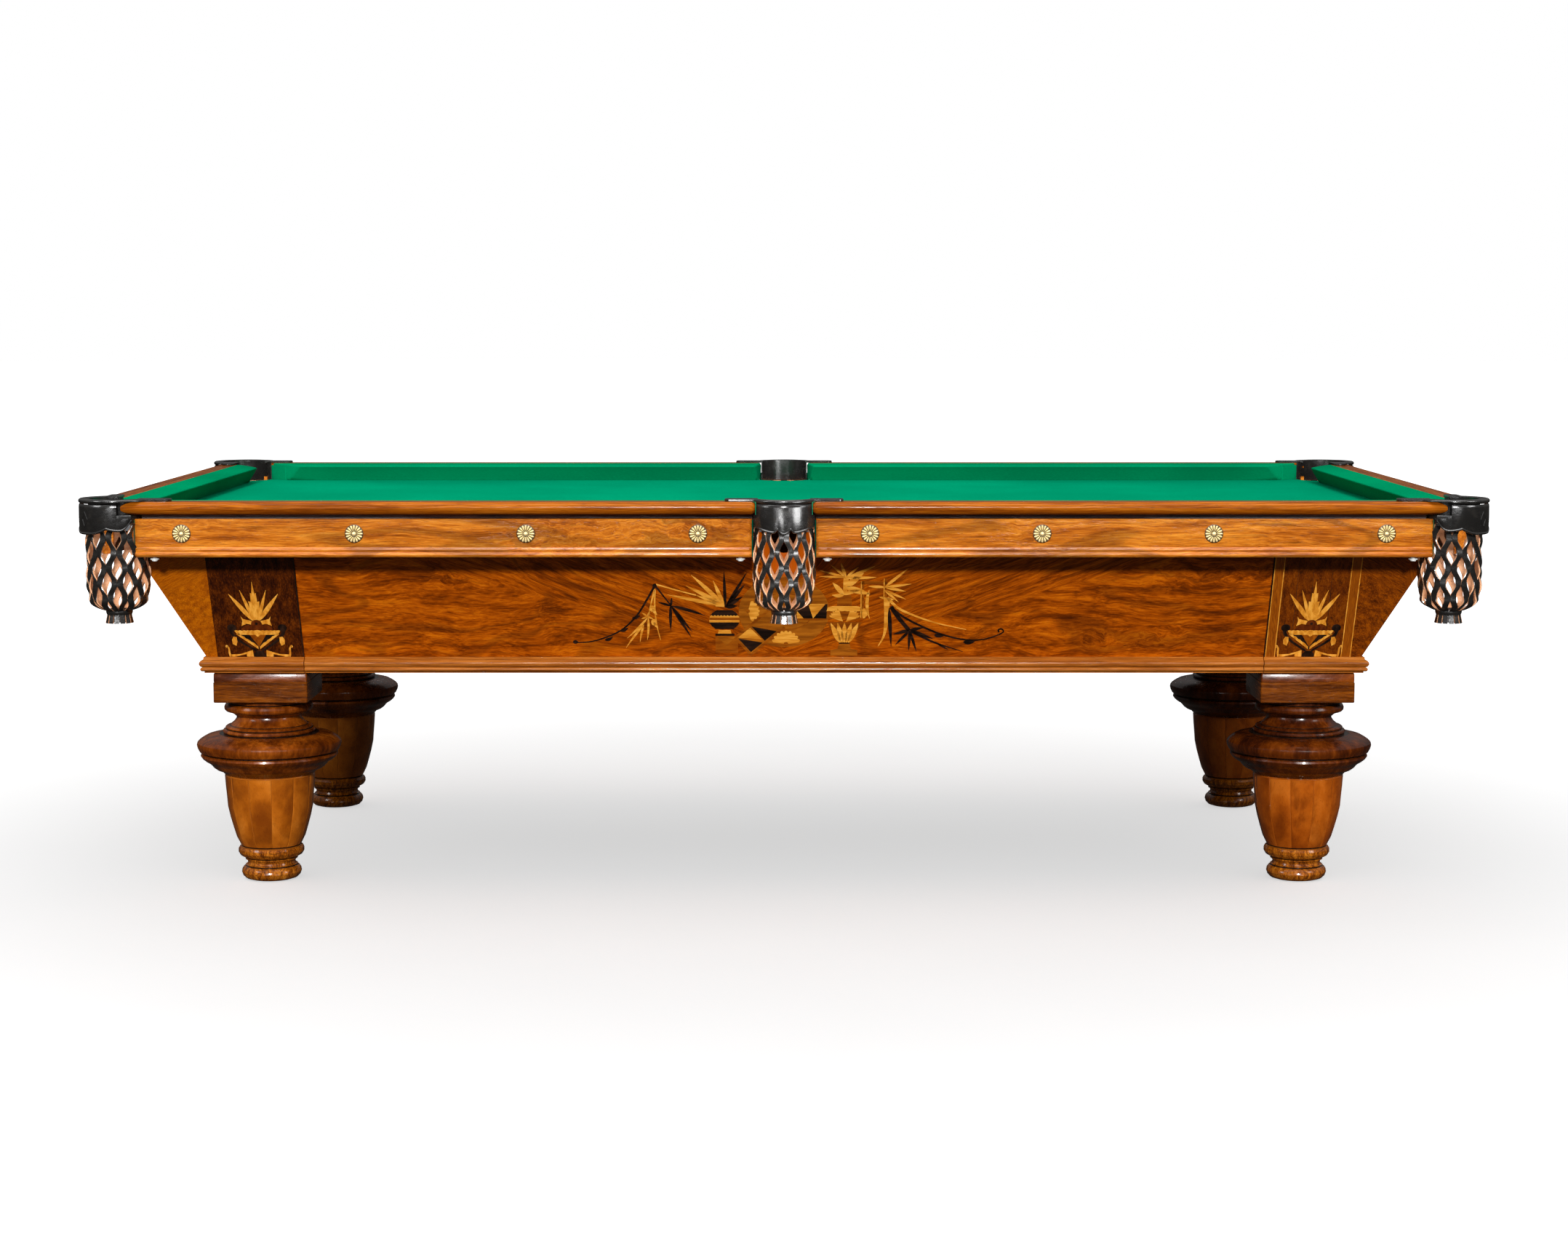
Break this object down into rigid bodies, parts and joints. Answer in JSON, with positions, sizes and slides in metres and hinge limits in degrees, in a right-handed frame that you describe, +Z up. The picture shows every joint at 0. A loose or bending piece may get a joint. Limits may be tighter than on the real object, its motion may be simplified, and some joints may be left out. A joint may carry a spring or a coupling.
{
  "type": "pool table",
  "caption": "Antique pool table with turned legs, flared inlaid cabinet, slate bed under green cloth, bullnosed wooden rails and open leather net pockets.",
  "frame": {"origin": "on the floor, under the middle of the playing field", "axes": "+X along the long sides to the right as seen from the front, +Y from the front long side to the rear one, +Z up"},
  "size_m": [2.7998, 1.53, 0.8133],
  "materials": {
    "panel_wood": "polished figured veneer, golden brown",
    "rosewood": "polished dark rosewood with light and black inlay",
    "moulding_wood": "polished moulded hardwood",
    "rail_wood": "polished bullnosed hardwood",
    "turned_wood": "polished turned hardwood",
    "frame_wood": "plain unfinished softwood",
    "slate": "honed grey slate",
    "bed_cloth": "green woollen billiard cloth, stretched",
    "cushion_cloth": "rubber cushion covered in green billiard cloth",
    "iron_leather": "cast iron covered in stitched black leather",
    "net_leather": "black leather straps with tan cut edges"
  },
  "bodies": {
    "root": {"leg_front_left": "turned_wood", "leg_front_right": "turned_wood", "leg_rear_left": "turned_wood", "leg_rear_right": "turned_wood", "leg_block_front_left": "turned_wood", "leg_block_front_right": "turned_wood", "leg_block_rear_left": "turned_wood", "leg_block_rear_right": "turned_wood", "corner_post_front_left": "rosewood", "corner_post_front_right": "rosewood", "corner_post_rear_left": "rosewood", "corner_post_rear_right": "rosewood", "base_moulding_front_left": "moulding_wood", "base_moulding_front_right": "moulding_wood", "base_moulding_rear_left": "moulding_wood", "base_moulding_rear_right": "moulding_wood", "base_moulding_front": "moulding_wood", "base_moulding_rear": "moulding_wood", "base_moulding_left": "moulding_wood", "base_moulding_right": "moulding_wood", "side_panel_front": "panel_wood", "side_panel_rear": "panel_wood", "end_panel_left": "panel_wood", "end_panel_right": "panel_wood", "cross_beam_left": "frame_wood", "cross_beam_right": "frame_wood", "slate_left": "slate", "slate_middle": "slate", "slate_right": "slate", "bed_cloth": "bed_cloth", "rail_front_left": "rail_wood", "rail_front_right": "rail_wood", "rail_rear_left": "rail_wood", "rail_rear_right": "rail_wood", "rail_left_end": "rail_wood", "rail_right_end": "rail_wood", "cushion_front_left": "cushion_cloth", "cushion_front_right": "cushion_cloth", "cushion_rear_left": "cushion_cloth", "cushion_rear_right": "cushion_cloth", "cushion_left_end": "cushion_cloth", "cushion_right_end": "cushion_cloth", "apron_front_left": "panel_wood", "apron_front_right": "panel_wood", "apron_rear_left": "panel_wood", "apron_rear_right": "panel_wood", "apron_left_end": "panel_wood", "apron_right_end": "panel_wood", "pocket_iron_front_left": "iron_leather", "pocket_iron_front_right": "iron_leather", "pocket_iron_rear_left": "iron_leather", "pocket_iron_rear_right": "iron_leather", "pocket_iron_front_middle": "iron_leather", "pocket_iron_rear_middle": "iron_leather", "pocket_net_front_left": "net_leather", "pocket_net_front_right": "net_leather", "pocket_net_rear_left": "net_leather", "pocket_net_rear_right": "net_leather", "pocket_net_front_middle": "net_leather", "pocket_net_rear_middle": "net_leather"}
  },
  "joints": []
}
